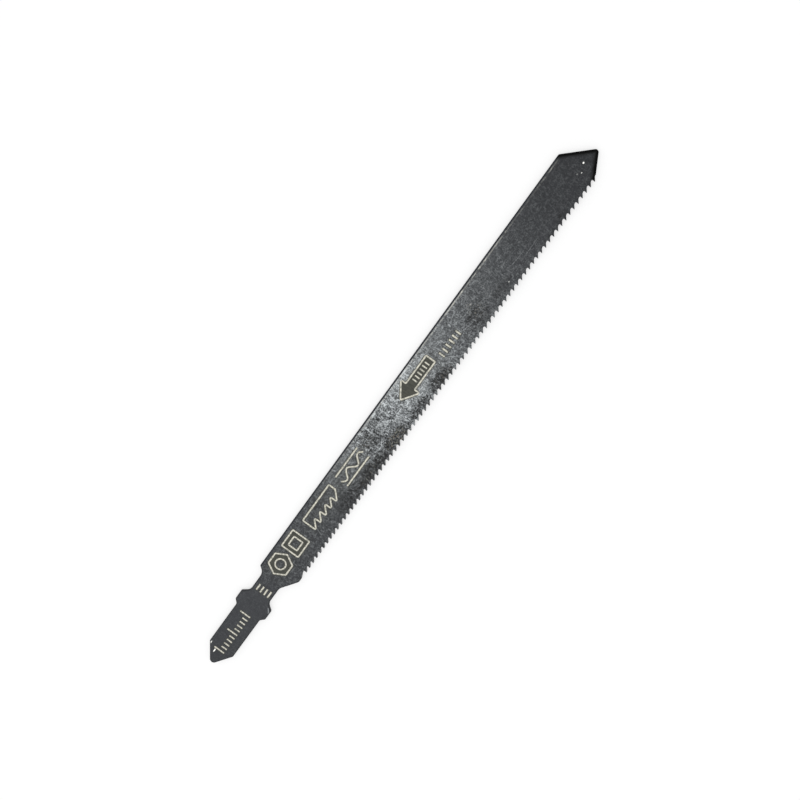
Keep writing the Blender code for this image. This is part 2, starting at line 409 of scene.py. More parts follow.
def seen_directly(tree):
    """1 for rays from the camera and for those that a reflection or a glass sends on."""
    rays = node("ShaderNodeLightPath", {}, tree)
    return most(Output(rays, name) for name in DIRECT_RAYS)


world = bpy.data.worlds.new("studio")
world.use_nodes = True
bpy.context.scene.world = world
background = world.node_tree.nodes["Background"]
fill(background.inputs["Strength"], seen_directly(world.node_tree) * (1.0 - SKY_LEVEL) + SKY_LEVEL)
fill(background.inputs["Color"], WHITE)
print("surroundings light at", SKY_LEVEL, "and show as 1.0")

# %% Floor
FLOOR_SIZE = 3.0
FLOOR_COLOUR = (0.42, 0.42, 0.42, 1.0)
FLOOR_LIFT = 0.60  # what the camera sees on top of the light that the floor throws back
FAR_LIFT = 0.71  # the same, far from the blade, where the lamp hardly reaches
NEAR = 0.2
FAR = 1.2


def floor_finish():
    material, tree, shader = new_finish("floor")
    fill(shader.inputs["Base Color"], FLOOR_COLOUR)
    fill(shader.inputs["Roughness"], 0.9)
    fill(shader.inputs["Specular IOR Level"], 0.0)
    fill(shader.inputs["Emission Color"], WHITE)
    here = Output(node("ShaderNodeTexCoord", {}, tree), "Object")
    away = Output(node("ShaderNodeVectorMath", {0: here}, operation="LENGTH"), "Value")
    lift = rise(away, NEAR, FAR) * (FAR_LIFT - FLOOR_LIFT) + FLOOR_LIFT
    fill(shader.inputs["Emission Strength"], seen_directly(tree) * lift)
    return material


def floor_sheet():
    mesh = bpy.data.meshes.new("floor")
    work = bmesh.new()
    bmesh.ops.create_grid(work, size=FLOOR_SIZE / 2)
    work.to_mesh(mesh)
    work.free()
    mesh.materials.append(floor_finish())
    return new_object("floor", mesh)


floor = floor_sheet()
print("floor", FLOOR_SIZE, "m across")

# %% Lamp
LAMP_SIZE = 0.50
LAMP_POWER = 0.90
LAMP_PLACE = Vector((-0.09, 0.0, 0.55))


def soft_lamp():
    lamp = bpy.data.lights.new("soft_lamp", "AREA")
    lamp.shape = "DISK"
    lamp.size = LAMP_SIZE
    lamp.energy = LAMP_POWER
    made = new_object("soft_lamp", lamp)
    made.location = LAMP_PLACE
    made.rotation_mode = "QUATERNION"
    made.rotation_quaternion = (-LAMP_PLACE).to_track_quat("-Z", "Y")


soft_lamp()
bpy.context.scene.view_settings.view_transform = "Standard"
print("lamp", LAMP_SIZE, "m across,", round(LAMP_PLACE.length, 2), "m away")

# %% [markdown]
# ## Finish: blackened steel, rubbed by use, with a painted sheen
#
# The blade was blackened all over, and the cut has since rubbed its middle. The paler middle is
# partly that wear and partly a painted sheen, a lamp's highlight painted into the colour. Painting
# that with an image would tie it to one picture, so it is made of places and rules: how far along the
# blade a point lies, how deep below the back edge, and patterns that depend on both. Every pattern
# reads the object's own coordinates in millimetres, so a scratch is as wide in the tree as on the
# bench.

# %% Places on the blade, in millimetres
UNDERSIDE_SHIFT = 37.0  # the patterns of the lower face are read this far away


def places(tree):
    """The point in millimetres, how far it lies from the shank's end and below the back edge."""
    here = Output(node("ShaderNodeTexCoord", {}, tree), "Object")
    x, y, z = separated(scaled(here, 1 / MM))
    shift = maths("LESS_THAN", z, PATTERN_TO_FRAME.z / MM) * UNDERSIDE_SHIFT
    place = Output(node("ShaderNodeCombineXYZ", {"X": x + shift, "Y": y, "Z": shift}))
    return place, x - low.x / MM, BACK_Y / MM - y


print("places run from 0 to", round(LENGTH / MM), "mm along the blade")

# %% Painted sheen and rubbed wear along the blade
SHEEN_AND_WEAR_STOPS = [  # millimetres along the blade, share of painted sheen and rubbed wear
    (18.0, 0.0), (26.0, 0.05), (42.0, 0.05), (50.0, 0.17), (60.0, 0.27), (67.0, 0.37),
    (73.5, 0.74), (79.0, 0.46), (84.0, 0.25), (93.0, 0.15), (102.0, 0.10), (112.0, 0.03),
    (120.0, 0.0),
]
OXIDE_STOPS = [  # millimetres along the blade, how pale the oxide is
    (18.0, 1.0), (24.0, 0.76), (48.0, 0.66), (70.0, 0.80), (88.0, 0.74), (110.0, 0.70),
    (124.0, 0.68), (131.0, 0.56),
]
MARKED_STOPS = [  # millimetres along the blade, how strongly the face is marked all over
    (18.0, 0.08), (25.0, 0.26), (45.0, 0.32), (54.0, 0.55), (59.0, 0.95), (67.0, 0.95),
    (75.0, 0.65), (88.0, 0.52), (102.0, 0.27), (114.0, 0.16), (130.0, 0.12),
]
MOTTLE = {"scale": 0.35, "detail": 4.0, "roughness": 0.6}  # clouds a few millimetres wide
PATCHINESS = 0.9


def sheen_and_wear_share(place, along, depth):
    """Painted sheen with rubbed wear: most mid-stroke and near the back, in cloudy patches."""
    course = {"Value": depth, "From Max": 8.0, "To Min": 1.28, "To Max": 0.64}
    by_depth = Output(node("ShaderNodeMapRange", course))
    patchy = swayed(noise(place, **MOTTLE), 1.0, PATCHINESS)
    return by_length(along, SHEEN_AND_WEAR_STOPS) * by_depth * patchy


print("rubbed most", max(SHEEN_AND_WEAR_STOPS, key=lambda stop: stop[1])[0], "mm from the shank's end")

# %% A group that draws short scratches
SCRATCH_SIZES = ("Cell", "Length", "Width", "Bow", "Share", "Turn")
SHORT_SCRATCHES = [  # in the same order, the lengths in millimetres
    (0.8, 0.9, 0.050, 0.5, 0.40, 0.0),
    (1.4, 1.6, 0.050, 0.3, 0.50, 1.0),
    (2.3, 2.6, 0.050, 0.15, 0.60, 2.0),
    (3.9, 4.4, 0.045, 0.05, 0.70, 0.5),
    (2.0, 2.2, 0.045, 0.10, 0.60, 0.9),
]


def scratch_group():
    """One scratch in each cell of a Voronoi pattern, each at its own angle, bow and strength."""
    inputs = {"Place": "Vector", **dict.fromkeys(SCRATCH_SIZES, "Float")}
    tree, given = new_tree("scratches", "ShaderNodeTree", inputs, "Float")
    place = scaled(given["Place"], maths("DIVIDE", 1.0, given["Cell"]))
    cells = node("ShaderNodeTexVoronoi", {"Vector": place, "Scale": 1.0}, voronoi_dimensions="2D")
    offset = scaled(vectors("SUBTRACT", place, Output(cells, "Position")), given["Cell"])
    chances = node("ShaderNodeSeparateColor", {0: Output(cells, "Color")})
    turn_chance, keep_chance, chance = [Output(chances, i) for i in range(3)]
    angle = turn_chance * pi + given["Turn"]
    turned = Output(node("ShaderNodeVectorRotate", {"Vector": offset, "Angle": angle}))
    run, side = separated(turned)[:2]
    bend = run * run * ((chance - 0.5) * given["Bow"])
    ends = rise(abs(run), given["Length"] * 0.5, 0.0)
    width = given["Width"] * (ends * 0.9 + 0.1)
    line = rise(abs(side + bend), width, width * 0.3)
    kept = maths("LESS_THAN", keep_chance, given["Share"])
    end_tree(tree, line * ends * kept * (chance * 0.7 + 0.3))
    return tree


SCRATCHES = scratch_group()


def short_scratches(place):
    marks = []
    for sizes in SHORT_SCRATCHES:
        inputs = {"Place": place, **dict(zip(SCRATCH_SIZES, sizes))}
        marks.append(Output(node("ShaderNodeGroup", inputs, node_tree=SCRATCHES)))
    return most(marks)


print(len(SHORT_SCRATCHES), "layers of short scratches")

# %% A group that draws one long scratch, the long scratches, and a painted highlight on a lug
LONG_SCRATCH_SIZES = ("Along", "Depth", "Start along", "Start depth", "Angle", "Length", "Bow", "Width")
LONG_SCRATCHES_AND_LUG_HIGHLIGHT = [  # start along, start depth, end along, end depth, bow, width
    # not a scratch but a painted highlight, the light on the lower lug's slanted edge
    (16.4, 7.5, 17.6, 6.6, 0.0, 0.16),
    (38.2, 4.8, 37.4, 6.9, 0.12, 0.05),
    (59.9, 0.6, 60.0, 2.7, 0.03, 0.07),
    (62.0, 3.0, 65.4, 2.8, -0.45, 0.08),
    (58.2, 5.0, 60.9, 5.1, -0.05, 0.06),
    (66.4, 5.5, 66.9, 8.0, -0.15, 0.08),
    (68.4, 0.7, 68.0, 2.7, 0.05, 0.07),
    (67.6, 2.8, 67.8, 7.6, 0.05, 0.05),
    (78.1, 5.8, 77.7, 8.0, 0.04, 0.06),
    (79.4, 5.9, 80.2, 7.9, 0.06, 0.06),
    (81.3, 5.7, 82.7, 7.4, 0.05, 0.07),
    (83.0, 5.8, 84.8, 7.9, 0.08, 0.06),
    (88.3, 5.0, 91.8, 5.8, 0.06, 0.05),
    (104.8, 5.3, 108.9, 5.5, 0.05, 0.03),
    (107.5, 6.3, 112.3, 6.2, 0.04, 0.03),
]


def long_scratch_group():
    """A thin line from a start, at an angle, bowed in the middle and fading at both ends."""
    inputs = dict.fromkeys(LONG_SCRATCH_SIZES, "Float")
    tree, given = new_tree("long_scratch", "ShaderNodeTree", inputs, "Float")
    east = given["Along"] - given["Start along"]
    south = given["Depth"] - given["Start depth"]
    turn_cos = maths("COSINE", given["Angle"])
    turn_sin = maths("SINE", given["Angle"])
    run = (south * turn_sin + east * turn_cos) / given["Length"]
    side = south * turn_cos - east * turn_sin
    hump = run * (1.0 - run)
    line = rise(abs(side - hump * 4.0 * given["Bow"]), given["Width"], given["Width"] * 0.4)
    end_tree(tree, line * rise(hump, 0.0, 0.12))
    return tree


LONG_SCRATCH = long_scratch_group()


def long_scratches_and_lug_highlight(along, depth):
    marks = []
    for start_along, start_depth, end_along, end_depth, bow, width in LONG_SCRATCHES_AND_LUG_HIGHLIGHT:
        way = Vector((end_along - start_along, end_depth - start_depth))
        angle = atan2(way.y, way.x)
        sizes = (along, depth, start_along, start_depth, angle, way.length, bow, width)
        inputs = zip(LONG_SCRATCH_SIZES, sizes)
        marks.append(Output(node("ShaderNodeGroup", inputs, node_tree=LONG_SCRATCH)))
    return most(marks)


print(len(LONG_SCRATCHES_AND_LUG_HIGHLIGHT), "long scratches")

# %% Hairlines that wind all over the face
HAIRLINES = [  # scale across, scale along, turn, width, scale of the breaks
    (2.6, 0.60, 0.12, 0.042, 1.3),
    (2.1, 0.80, -0.55, 0.042, 1.0),
    (0.40, 2.40, 0.05, 0.034, 0.7),
    (1.7, 1.5, 0.9, 0.042, 1.8),
]
PITS_SHIFT = (13.1, 7.7, 0.0)  # the dark hairlines lie elsewhere than the light ones


def hairlines(place):
    """Thin winding lines along the level lines of stretched noises, broken into short marks."""
    marks = []
    for across, along, turn, width, break_scale in HAIRLINES:
        level = noise(stretched(place, (across, along, 1.0), turn), detail=1.0, distortion=0.5)
        breaks = rise(noise(place, break_scale, detail=1.0), 0.48, 0.58)
        marks.append(rise(abs(level - 0.5), width, 0.0) * breaks)
    return most(marks)


print(len(HAIRLINES), "layers of hairlines")

# %% Grease: dark smudges near the teeth, with dried specks in them
SMUDGES = [  # along, depth, half length, half height, strength
    (48.0, 6.8, 6.0, 2.6, 0.6),
    (55.5, 7.3, 8.0, 2.2, 0.85),
    (63.0, 7.4, 5.4, 2.3, 1.0),
    (71.6, 7.5, 4.4, 1.8, 0.8),
    (78.4, 7.5, 4.4, 2.2, 0.95),
    (60.0, 3.2, 3.8, 2.6, 0.6),
    (63.4, 1.9, 4.0, 1.4, 0.35),
    (93.0, 5.8, 4.4, 2.8, 0.45),
    (100.0, 6.4, 5.0, 1.6, 0.35),
    (117.9, 7.2, 0.7, 0.4, 0.8),
]
FLECKED = [  # where the specks lie, in the same order
    (63.4, 7.2, 4.2, 2.1, 1.0),
    (58.5, 2.8, 3.0, 2.2, 0.5),
    (54.0, 7.2, 6.0, 1.4, 0.45),
    (79.5, 7.2, 3.5, 1.5, 0.5),
    (93.6, 4.6, 2.6, 2.6, 0.5),
]
COARSE_BLOTCHES = {"scale": 0.8, "roughness": 0.6}
FINE_BLOTCHES = {"scale": 2.9, "roughness": 0.6}
FINE_SHARE = 0.7
BLOTCH_LEVEL = 0.60  # the pattern makes a blotch above this level,
BLOTCH_FALL = 0.18  # which falls by this in the middle of a smudge
SPECK_LEVEL = 0.66
SPECK_FALL = 0.10
HAZE = 0.38  # how much of a smudge lies between its blotches
RAGGED = 0.035  # how soft a blotch's edge is


def spots(along, depth, sizes):
    """1 in the middle of each ellipse and 0 at its edge and beyond, times its strength."""
    shares = []
    for middle_along, middle_depth, half_length, half_height, strength in sizes:
        east = (along - middle_along) / half_length
        south = (depth - middle_depth) / half_height
        shares.append(rise(east * east + south * south, 1.0, 0.0) * strength)
    return most(shares)


def grease_share(place, along, depth):
    """Smudges that break up into ragged blotches, the more the nearer to their edges."""
    share = spots(along, depth, SMUDGES)
    fine, coarse = noise(place, **FINE_BLOTCHES), noise(place, **COARSE_BLOTCHES)
    blotches = fine * FINE_SHARE + coarse * (1.0 - FINE_SHARE)
    level = BLOTCH_LEVEL - share * BLOTCH_FALL
    ragged = rise(blotches, level - RAGGED, level + RAGGED)
    return most([share * HAZE, rise(share, 0.0, 0.6) * ragged])


def flecked_share(place, along, depth):
    share = spots(along, depth, FLECKED)
    level = SPECK_LEVEL - share * SPECK_FALL
    return rise(noise(place, 3.0, detail=1.0), level, level + 0.05) * share


print(len(SMUDGES), "smudges, specks in", len(FLECKED), "places")

# %% Bright places, painted shade along the back edge, and the bright line beside it
BRIGHT_SPOTS = [  # along, depth, half length, half height, strength
    (128.5, 4.80, 0.26, 0.20, 1.0),
    (126.8, 5.65, 0.22, 0.12, 0.6),
    (126.1, 5.10, 0.12, 0.10, 0.4),
    (102.0, 6.80, 0.14, 0.12, 0.7),
    (3.7, 1.15, 0.50, 0.15, 0.8),
    (2.7, 2.75, 0.65, 0.18, 1.0),
    (94.0, 3.35, 0.40, 0.22, 0.15),
]
EDGE_SHADE_DEPTH = 0.34
LINE_DEPTH = 0.50
LINE_WIDTH = 0.24
LINE_STOPS = [  # millimetres along the blade, how bright the line of burnish and painted highlight is
    (40.0, 0.0), (54.0, 0.20), (66.0, 0.45), (76.0, 0.55), (90.0, 0.55), (94.0, 0.95),
    (98.0, 0.45), (102.0, 0.85), (110.0, 0.25), (118.0, 0.10), (124.0, 0.35), (127.0, 0.0),
]
RUBBED_BREAKS = {"detail": 5.0, "roughness": 0.75}


def edge_shade_share(along, depth):
    """1 in the strip that follows the back edge of the body: painted shade, the dark of its rolled
    corner.
    """
    on_body = rise(along, BACK_START / MM - 0.6, BACK_START / MM)
    return rise(depth, EDGE_SHADE_DEPTH + 0.05, EDGE_SHADE_DEPTH) * on_body


def burnish_and_highlight_share(place, along, depth):
    """A thin broken bright line just inside the dark band: partly burnished where the back rubs
    and partly a painted highlight along the edge.
    """
    inner = rise(depth, EDGE_SHADE_DEPTH, LINE_DEPTH - 0.04)
    outer = rise(depth, LINE_DEPTH + LINE_WIDTH, LINE_DEPTH + 0.02)
    broken = noise(stretched(place, (1.1, 3.0, 1.0)), **RUBBED_BREAKS)
    return inner * outer * by_length(along, LINE_STOPS) * rise(broken, 0.40, 0.66)


print(len(BRIGHT_SPOTS), "bright spots, dark band", EDGE_SHADE_DEPTH, "mm wide")

# %% The tip, black along its two slopes, and stains that the etching left
TIP_BAND = 1.2
TIP_BLACK = 0.4  # the band is black to this depth
STAINS = [  # start along, end along, top depth, bottom depth
    (23.0, 36.0, 0.5, 6.6),
    (36.0, 58.6, 1.0, 6.0),
    (68.4, 83.0, 0.6, 6.2),
]
WAVERING = {"scale": 0.9, "detail": 5.0, "roughness": 0.75}
WAVERING_WIDTH = 5.0
STAIN_EDGE = (-0.5, 1.8)  # a stain fades in between these distances inside its outline


def tip_share(along, depth):
    """1 along the two slopes of the tip, fading over a band inside them."""
    short = tip_point().x / MM - along
    below = depth - TIP_POINT_DEPTH / MM
    from_back_slope = short * sin(TIP_BACK_ANGLE) + below * cos(TIP_BACK_ANGLE)
    from_front_slope = short * sin(TIP_FRONT_ANGLE) - below * cos(TIP_FRONT_ANGLE)
    return rise(least([from_back_slope, from_front_slope]), TIP_BAND, TIP_BLACK)


def stained_share(place, along, depth):
    """1 inside the rectangles, whose edges waver."""
    waver = swayed(noise(place, **WAVERING), -0.2, WAVERING_WIDTH)
    shares = []
    for start, end, top, bottom in STAINS:
        inside = least([along - start, end - along, depth - top, bottom - depth])
        shares.append(rise(inside + waver, *STAIN_EDGE))
    return most(shares)


print("the tip's dark band is", TIP_BAND, "mm wide, and", len(STAINS), "stains lie round the signs")

# %% Colours and contrasts of the flat faces
OXIDE = (0.0330, 0.0345, 0.0375, 1.0)
# the grey of the rubbed middle, which also carries a painted sheen
SHEEN_AND_WEAR_GREY = (0.162, 0.172, 0.176, 1.0)
SCRATCHED = (0.53, 0.56, 0.57, 1.0)
STAIN = (0.028, 0.029, 0.027, 1.0)
GREASE = (0.012, 0.012, 0.012, 1.0)
OLIVE_SPECK = (0.15, 0.152, 0.125, 1.0)
BROWN_SPECK = (0.17, 0.150, 0.118, 1.0)
# painted shade along the back edge, where the rolled corner turns away
EDGE_SHADE = (0.026, 0.028, 0.033, 1.0)
# a pale burnish, partly painted highlight
BURNISH_AND_HIGHLIGHT = (0.50, 0.49, 0.44, 1.0)
BLACKENED = (0.004, 0.004, 0.004, 1.0)
BARE_SPOT = (0.80, 0.80, 0.76, 1.0)

CLOUD_CONTRAST = 0.8
SPECKLE_CONTRAST = 1.25
GRAIN_CONTRAST = 0.4
DARKEST_TONE = 0.3
STAIN_STRENGTH = 0.40
PIT_DARKNESS = 0.9
GREASE_COVER = 0.92
GREASE_OVER_SCRATCHES = 0.55
LEAST_BARED = 0.36  # how bare a scratch is outside the rubbed, painted-sheen middle
# how much paler a scratch grows with the rubbed wear and the painted sheen
BARED_BY_SHEEN_AND_WEAR = 0.60
LONG_SCRATCH_STRENGTH = 0.6
print("a scratch on black oxide is", LEAST_BARED, "bare steel")

# %% The finish of the flat faces
def face_finish():
    material, tree, shader = new_finish("blackened_face")
    place, along, depth = places(tree)
    sheen_and_wear = sheen_and_wear_share(place, along, depth)
    marked = by_length(along, MARKED_STOPS)
    mottle = noise(place, **MOTTLE)
    speckle = noise(place, 3.1)
    grain = noise(stretched(place, (5.0, 0.35, 1.0)), detail=3.0, roughness=0.6)
    grease = grease_share(place, along, depth)
    tip = tip_share(along, depth)
    fine_marks = most([short_scratches(place), hairlines(place)])
    marks = most([fine_marks * marked, long_scratches_and_lug_highlight(along, depth) * LONG_SCRATCH_STRENGTH])
    scratched = marks * (1.0 - grease * GREASE_OVER_SCRATCHES)

    clouds = (mottle - 0.5) * CLOUD_CONTRAST
    specks = (rise(speckle, 0.36, 0.64) - 0.5) * SPECKLE_CONTRAST
    tone = (clouds + specks) * marked + swayed(grain, 1.0, GRAIN_CONTRAST)
    oxide = scaled(OXIDE[:3], by_length(along, OXIDE_STOPS))
    # the paler middle: rubbed wear together with a painted sheen
    colour = scaled(mixed(sheen_and_wear, oxide, SHEEN_AND_WEAR_GREY), most([tone, DARKEST_TONE]))
    colour = mixed(stained_share(place, along, depth) * STAIN_STRENGTH, colour, STAIN)
    pits = hairlines(vectors("ADD", place, PITS_SHIFT)) * marked
    colour = scaled(colour, 1.0 - pits * PIT_DARKNESS)
    colour = mixed(grease * GREASE_COVER, colour, GREASE)
    speck = mixed(rise(noise(place, 1.1), 0.40, 0.60), OLIVE_SPECK, BROWN_SPECK)
    colour = mixed(flecked_share(place, along, depth), colour, speck)
    bared = mixed(sheen_and_wear * BARED_BY_SHEEN_AND_WEAR + LEAST_BARED, colour, SCRATCHED)
    colour = mixed(scratched, colour, bared)
    # burnished line, partly a painted highlight along the back edge
    colour = mixed(burnish_and_highlight_share(place, along, depth), colour, BURNISH_AND_HIGHLIGHT)
    # painted shade along the rolled back edge
    colour = mixed(edge_shade_share(along, depth), colour, EDGE_SHADE)
    colour = mixed(tip, colour, BLACKENED)
    colour = mixed(spots(along, depth, BRIGHT_SPOTS), colour, BARE_SPOT)

    roughness = swayed(mottle, 0.38, 0.18) + grease * 0.24 - scratched * 0.12
    metallic = most([0.9 - grease * 0.2, tip])
    height = speckle * 0.5 + grain * 0.4 - scratched
    dress(shader, colour, roughness, metallic, height)
    return material


face = face_finish()
print("flat faces:", len(face.node_tree.nodes), "nodes")

# %% [markdown]
# ## Finish: sheared rim, milled gullets and etched signs
#
# The rim was rolled and torn by the blanking die, so it is rougher than the faces. Its darker colour
# is painted shade, the dark that a rolled rim takes on. The milling cutter left fine lines across the
# gullets, and the oxide there has worn thin on the tips. The signs were etched through the
# blackening: pale lines, with a dull olive ground inside some.

# %% The finish of the rim
# the rim's colour, darkened as painted shade
RIM_OXIDE_AND_SHADE = (0.020, 0.021, 0.023, 1.0)
RIM_WORN = (0.060, 0.062, 0.066, 1.0)
TORN_RELIEF = 0.01 * MM


def rim_finish():
    material, tree, shader = new_finish("sheared_rim")
    place, along, depth = places(tree)
    tears = noise(stretched(place, (7.0, 7.0, 0.6)), detail=3.0, roughness=0.6)
    cloud = noise(place, 0.8, detail=3.0)
    shank = rise(along, BACK_START / MM, LUG_END / MM)
    colour = mixed(shank * 0.45 + cloud * 0.3, RIM_OXIDE_AND_SHADE, RIM_WORN)
    colour = mixed(tip_share(along, depth), colour, BLACKENED)
    colour = scaled(colour, swayed(tears, 1.0, 0.9))
    fill(shader.inputs["Specular IOR Level"], 0.2)
    dress(shader, colour, swayed(cloud, 0.6, 0.2), 0.85, tears, strength=0.6, relief=TORN_RELIEF)
    return material


rim = rim_finish()
print("rim:", len(rim.node_tree.nodes), "nodes")

# %% The finish of the milled gullets
MILLED = (0.034, 0.035, 0.037, 1.0)
MILLED_BRIGHT = (0.12, 0.12, 0.12, 1.0)
WORN_TIP = 0.25  # how high up a tooth its tip is worn


def milled_finish():
    material, tree, shader = new_finish("milled_gullets")
    place, along, depth = places(tree)
    lines = noise(stretched(place, (1.0, 1.0, 14.0)))
    patches = noise(place, 1.3, detail=4.0, roughness=0.7)
    near_tip = rise(depth, BLADE_WIDTH / MM - WORN_TIP, BLADE_WIDTH / MM)
    colour = mixed(near_tip * rise(patches, 0.35, 0.65), MILLED, MILLED_BRIGHT)
    colour = scaled(colour, swayed(lines, 1.0, 0.6))
    dress(shader, colour, swayed(patches, 0.425, 0.25), 0.9, lines)
    return material


milled = milled_finish()
print("milled:", len(milled.node_tree.nodes), "nodes")

# %% The finishes of the etched signs
ETCHED_PALE = (0.66, 0.64, 0.55, 1.0)
ETCHED_DULL = (0.24, 0.24, 0.21, 1.0)
GROUND_OLIVE = (0.072, 0.073, 0.059, 1.0)
GROUND_DARK = (0.036, 0.037, 0.032, 1.0)


def etched_line_finish():
    material, tree, shader = new_finish("etched_line")
    worn = noise(places(tree)[0], 2.6, detail=4.0, roughness=0.7)
    colour = mixed(rise(worn, 0.42, 0.66), ETCHED_PALE, ETCHED_DULL)
    dress(shader, colour, swayed(worn, 0.6, 0.3), 0.35, worn)
    return material


def etched_ground_finish():
    material, tree, shader = new_finish("etched_ground")
    place = places(tree)[0]
    hatch = noise(stretched(place, (6.0, 0.5, 1.0), turn=0.6))
    cloud = noise(place, 1.8, detail=4.0, roughness=0.7)
    share = hatch * 0.6 + cloud * 0.4
    colour = mixed(rise(share, 0.35, 0.65), GROUND_DARK, GROUND_OLIVE)
    dress(shader, colour, swayed(cloud, 0.6, 0.2), 0.6, share)
    return material


etched_line = etched_line_finish()
etched_ground = etched_ground_finish()
FINISHES = [face, rim, milled, etched_line, etched_ground]
print("finishes:", [finish.name for finish in FINISHES])

# %% [markdown]
# ## The blank
#
# A press blanks the blade from sheet steel with one stroke of a die. A flat 2D curve with a depth does
# the same: it turns an outline into a plate with two whole faces. The outline is written as corners,
# each with its own radius, because that is how such a pattern is drawn, and a helper rounds them.

# %% Rounding the corners of an outline
def rounded(corners):
    """The points of a closed outline through (x, y, radius) corners, each rounded by an arc.
    Two arcs that would overlap on the side between them share it instead. A corner that hardly
    turns is already part of a curve and stays."""
    count = len(corners)
    bends = [Vector(corner[:2]) for corner in corners]
    sides = [bends[(i + 1) % count] - bends[i] for i in range(count)]
    turns = [sides[i - 1].angle_signed(sides[i]) for i in range(count)]
    reaches = [corners[i][2] * tan(abs(turns[i]) / 2) for i in range(count)]
    shares = [1.0] * count
    for i in range(count):
        j = (i + 1) % count
        wanted = reaches[i] + reaches[j]
        if wanted > sides[i].length:
            fits = sides[i].length / wanted
            shares[i] = min(shares[i], fits)
            shares[j] = min(shares[j], fits)
    points = []
    for i in range(count):
        reach = reaches[i] * shares[i]
        if reach < WELD_DISTANCE or abs(turns[i]) < 2 * ARC_STEP:
            points.append(bends[i])
            continue
        towards = sides[i].normalized()
        start = bends[i] - sides[i - 1].normalized() * reach
        radius = reach / tan(abs(turns[i]) / 2)
        inward = Vector((towards.y, -towards.x)) * (1 if turns[i] > 0 else -1)
        centre = bends[i] + towards * reach + inward * radius
        steps = max(2, ceil(abs(turns[i]) / ARC_STEP))
        for step in range(steps + 1):
            turn = Matrix.Rotation(-turns[i] * step / steps, 2)
            points.append(centre + turn @ (start - centre))
    return points


SQUARE = [(0.0, 0.0, 0.1), (0.0, 1.0, 0.1), (1.0, 1.0, 0.1), (1.0, 0.0, 0.1)]
print("a unit square with rounded corners has", len(rounded(SQUARE)), "points")

# %% The outline of the blank
def front_slope_x(y):
    """Where the tip's front slope is at height y."""
    point = tip_point()
    return point.x - (point.y - y) / tan(TIP_FRONT_ANGLE)


def blank_corners():
    """The outline before the teeth are milled, from the shank's end round by the back."""
    end_cut_off = SHANK_END_RADIUS * (1 / sin(SHANK_END_ANGLE) - 1)
    shank_full_x = SHANK_HALF / tan(SHANK_END_ANGLE) - end_cut_off
    lug_foot_x = SHANK_LENGTH - LUG_HEIGHT / tan(LUG_LEADING_ANGLE)
    neck_start_x = LUG_END + (LUG_HALF - NECK_HALF) / tan(LUG_TRAILING_ANGLE)
    back_foot_x = BACK_START - (BACK_HEIGHT - NECK_HALF) / tan(BACK_SHOULDER_ANGLE)
    heel_foot_x = HEEL_START + (NECK_HALF + HEEL_Y) / tan(HEEL_ANGLE)
    uncut_x = HEEL_END + HEEL_GAP / 2
    point = tip_point()
    back_end_x = point.x - TIP_POINT_DEPTH / tan(TIP_BACK_ANGLE)
    shank_side = [
        (shank_full_x, SHANK_HALF, SHANK_CORNER_RADIUS),
        (lug_foot_x, SHANK_HALF, LUG_ROOT_RADIUS),
        (SHANK_LENGTH, LUG_HALF, LUG_CORNER_RADIUS),
        (LUG_END, LUG_HALF, LUG_CORNER_RADIUS),
        (neck_start_x, NECK_HALF, NECK_RADIUS),
    ]
    body = [
        (back_foot_x, NECK_HALF, BACK_SHOULDER_RADIUS),
        (BACK_START, BACK_HEIGHT, BACK_CORNER_RADIUS),
        (back_end_x, BACK_HEIGHT, TIP_CORNER_RADIUS),
        (point.x, point.y, TIP_POINT_RADIUS),
        (front_slope_x(UNCUT_Y), UNCUT_Y, 0.0),
        (uncut_x, UNCUT_Y, 0.0),
        (uncut_x, HEEL_Y, 0.0),
        (HEEL_START, HEEL_Y, HEEL_RADIUS),
        (heel_foot_x, -NECK_HALF, NECK_RADIUS),
    ]
    far_side = [(x, -y, radius) for x, y, radius in reversed(shank_side)]
    return [(-end_cut_off, 0.0, SHANK_END_RADIUS)] + shank_side + body + far_side


blank_outline = rounded(blank_corners())
print("the blank's outline has", len(blank_corners()), "corners and", len(blank_outline), "points")

# %% A plate of any outline
def plain_mesh(drawn):
    """The mesh that an object's curves and modifiers make."""
    bpy.context.view_layer.update()
    graph = bpy.context.evaluated_depsgraph_get()
    return bpy.data.meshes.new_from_object(drawn.evaluated_get(graph), depsgraph=graph)


def modify(piece, kind, **settings):
    """Gives a piece the plain mesh that a modifier makes of it."""
    modifier = piece.modifiers.new(kind, kind)
    for name, value in settings.items():
        setattr(modifier, name, value)
    piece.data = plain_mesh(piece)
    piece.modifiers.remove(modifier)


def is_flat(face):
    """Whether a face is part of the sheet's upper or lower face."""
    return abs(face.normal.z) > cos(radians(1.0))


def plate(name, outlines, bottom, top):
    """A closed plate between two heights. An outline inside another leaves a hole."""
    curve = bpy.data.curves.new(name, "CURVE")
    curve.dimensions = "2D"
    curve.fill_mode = "BOTH"
    curve.extrude = (top - bottom) / 2
    for outline in outlines:
        spline = curve.splines.new("POLY")
        spline.points.add(len(outline) - 1)
        for point, place in zip(spline.points, outline):
            point.co = (place.x, place.y, 0.0, 1.0)
        spline.use_cyclic_u = True
    drawn = new_object(name + "_outline", curve)
    mesh = plain_mesh(drawn)
    bpy.data.objects.remove(drawn)
    work = bmesh.new()
    work.from_mesh(mesh)
    bmesh.ops.remove_doubles(work, verts=work.verts, dist=WELD_DISTANCE)
    if len(outlines) == 1:
        inner = [edge for edge in work.edges if all(is_flat(face) for face in edge.link_faces)]
        bmesh.ops.dissolve_edges(work, edges=inner, use_verts=False)
    bmesh.ops.translate(work, verts=work.verts, vec=(0.0, 0.0, (top + bottom) / 2))
    bmesh.ops.recalc_face_normals(work, faces=work.faces)
    work.to_mesh(mesh)
    work.free()
    return new_object(name, mesh)


